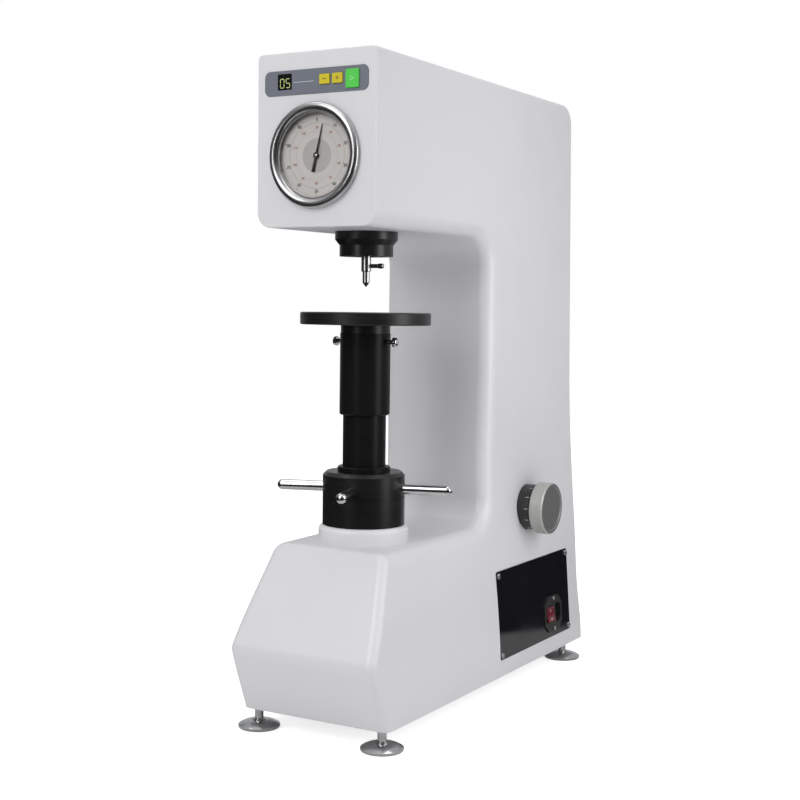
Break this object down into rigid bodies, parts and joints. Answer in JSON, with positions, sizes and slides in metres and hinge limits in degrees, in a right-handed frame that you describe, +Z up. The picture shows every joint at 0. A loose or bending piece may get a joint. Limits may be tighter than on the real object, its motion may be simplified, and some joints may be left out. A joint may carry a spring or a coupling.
{
  "type": "hardness tester",
  "caption": "Bench-top dial hardness tester: C-shaped frame, overhanging head with dial and keys, round table on a screw with handwheel, side load selector, power plate and levelling feet.",
  "frame": {"origin": "on the bench under the middle of the machine's bounding box", "axes": "+Z up, -Y towards the operator, +X the load-selector side"},
  "size_m": [0.2204, 0.5663, 0.7547],
  "materials": {
    "white_paint": "glossy white enamel",
    "screw_steel": "plated",
    "panel_grey": "satin grey",
    "display_black": "gloss black filter",
    "key_yellow": "satin yellow",
    "key_green": "satin green",
    "board_green": "solder mask",
    "chrome": "polished",
    "dial_cream": "matt print",
    "dial_glass": "clear",
    "needle_black": "matt",
    "motor_grey": "cast",
    "bronze": "turned",
    "spindle_steel": "ground",
    "black_oxide": "satin black",
    "cast_iron": "machined",
    "deck_ring_white": "satin white",
    "load_dial_black": "satin black",
    "knob_grey": "satin dark grey",
    "plate_black": "gloss black",
    "inlet_black": "moulded",
    "pin_brass": "plated",
    "rocker_red": "translucent red",
    "foot_steel": "dull plated"
  },
  "bodies": {
    "machine": {"housing": "white_paint", "rear_cover": "white_paint", "rear_cover_screws": "screw_steel", "top_cover": "white_paint", "top_cover_screws": "screw_steel", "panel_strip": "panel_grey", "display_window": "display_black", "control_board": "board_green", "gauge_can": "motor_grey", "spindle_bush": "bronze", "spindle_shroud": "black_oxide", "deck_ring": "deck_ring_white", "thrust_washer": "bronze", "screw_guide": "bronze", "load_dial": "load_dial_black", "shaft_bush": "bronze", "power_plate": "plate_black", "power_plate_screws": "screw_steel", "mains_inlet": "inlet_black", "inlet_pins": "pin_brass", "inlet_screws": "screw_steel", "fulcrum": "spindle_steel", "loading_motor": "motor_grey", "damper_cylinder": "motor_grey", "power_supply": "motor_grey"},
    "bezel": {"dial_bezel": "chrome", "dial_face": "dial_cream", "dial_glass": "dial_glass"},
    "needle": {"dial_needle": "needle_black"},
    "spindle": {"spindle": "spindle_steel", "indenter": "spindle_steel", "indenter_screw": "black_oxide"},
    "lever": {"loading_lever": "cast_iron"},
    "hanger": {"weight_hanger": "cast_iron", "weight_large": "cast_iron", "weight_middle": "cast_iron", "weight_small": "cast_iron"},
    "piston": {"damper_piston": "spindle_steel"},
    "cam": {"lifting_cam": "spindle_steel"},
    "table": {"work_table": "black_oxide", "elevating_screw": "cast_iron", "upper_sleeve": "black_oxide", "sleeve_screws": "black_oxide"},
    "handwheel": {"handwheel_hub": "black_oxide", "handwheel_rod_1": "chrome", "handwheel_rod_2": "chrome", "handwheel_rod_3": "chrome", "handwheel_rod_4": "chrome", "lower_sleeve": "black_oxide"},
    "selector": {"load_knob": "knob_grey", "load_shaft": "spindle_steel", "selector_disc": "spindle_steel"},
    "left_key": {"left_key": "key_yellow"},
    "middle_key": {"middle_key": "key_yellow"},
    "green_key": {"green_key": "key_green"},
    "rocker": {"power_rocker": "rocker_red"},
    "foot_front_left": {"foot_front_left": "foot_steel"},
    "foot_front_right": {"foot_front_right": "foot_steel"},
    "foot_rear_left": {"foot_rear_left": "foot_steel"},
    "foot_rear_right": {"foot_rear_right": "foot_steel"}
  },
  "joints": [
    {"name": "handwheel_turn", "type": "hinge", "parent": "machine", "child": "handwheel", "pos_m": [-0.0048, -0.15, 0.271], "axis": [0, 0, -1], "range_deg": [-3670, 2014]},
    {"name": "table_lift", "type": "slide", "parent": "machine", "child": "table", "axis": [0, 0, 1], "range_m": [-0.051, 0.028]},
    {"name": "lever_swing", "type": "hinge", "parent": "machine", "child": "lever", "pos_m": [-0.0048, -0.175, 0.60985], "axis": [1, 0, 0], "range_deg": [0, 1.8]},
    {"name": "spindle_press", "type": "slide", "parent": "machine", "child": "spindle", "axis": [0, 0, 1], "range_m": [0, 0.0008]},
    {"name": "hanger_lift", "type": "slide", "parent": "machine", "child": "hanger", "axis": [0, 0, 1], "range_m": [0, 0.0103]},
    {"name": "piston_slide", "type": "slide", "parent": "machine", "child": "piston", "axis": [0, 0, 1], "range_m": [0, 0.0077]},
    {"name": "needle_turn", "type": "hinge", "parent": "machine", "child": "needle", "pos_m": [-0.0048, -0.2575, 0.641], "axis": [0, 1, 0], "range_deg": [0, 1420]},
    {"name": "bezel_turn", "type": "hinge", "parent": "machine", "child": "bezel", "pos_m": [-0.0048, -0.2575, 0.641], "axis": [0, 1, 0], "range_deg": [-30, 30]},
    {"name": "cam_turn", "type": "hinge", "parent": "machine", "child": "cam", "pos_m": [-0.0048, 0.15, 0.262], "axis": [1, 0, 0], "continuous": true},
    {"name": "load_select", "type": "hinge", "parent": "machine", "child": "selector", "pos_m": [0.1002, 0.1275, 0.223], "axis": [1, 0, 0], "range_deg": [-90, 90]},
    {"name": "left_key_press", "type": "slide", "parent": "machine", "child": "left_key", "axis": [0, 1, 0], "range_m": [0, 0.001], "stiffness_N_per_m": 400},
    {"name": "middle_key_press", "type": "slide", "parent": "machine", "child": "middle_key", "axis": [0, 1, 0], "range_m": [0, 0.001], "stiffness_N_per_m": 400},
    {"name": "green_key_press", "type": "slide", "parent": "machine", "child": "green_key", "axis": [0, 1, 0], "range_m": [0, 0.001], "stiffness_N_per_m": 400},
    {"name": "rocker_switch", "type": "hinge", "parent": "machine", "child": "rocker", "pos_m": [0.08819, 0.1752, 0.07373], "axis": [0, 1, 0], "range_deg": [0, 13]},
    {"name": "foot_front_left_turn", "type": "hinge", "parent": "machine", "child": "foot_front_left", "pos_m": [-0.0863, -0.24, 0.005], "axis": [0, 0, 1], "continuous": true},
    {"name": "foot_front_right_turn", "type": "hinge", "parent": "machine", "child": "foot_front_right", "pos_m": [0.0767, -0.24, 0.005], "axis": [0, 0, 1], "continuous": true},
    {"name": "foot_rear_left_turn", "type": "hinge", "parent": "machine", "child": "foot_rear_left", "pos_m": [-0.0863, 0.247, 0.005], "axis": [0, 0, 1], "continuous": true},
    {"name": "foot_rear_right_turn", "type": "hinge", "parent": "machine", "child": "foot_rear_right", "pos_m": [0.0767, 0.247, 0.005], "axis": [0, 0, 1], "continuous": true}
  ],
  "couplings": [
    {"joint": "table_lift", "follows": "handwheel_turn", "m_per_rad": 0.00079577},
    {"joint": "spindle_press", "follows": "lever_swing", "m_per_rad": 0.025},
    {"joint": "hanger_lift", "follows": "lever_swing", "m_per_rad": 0.325},
    {"joint": "piston_slide", "follows": "lever_swing", "m_per_rad": 0.241},
    {"joint": "needle_turn", "follows": "lever_swing", "ratio": 785.4}
  ]
}
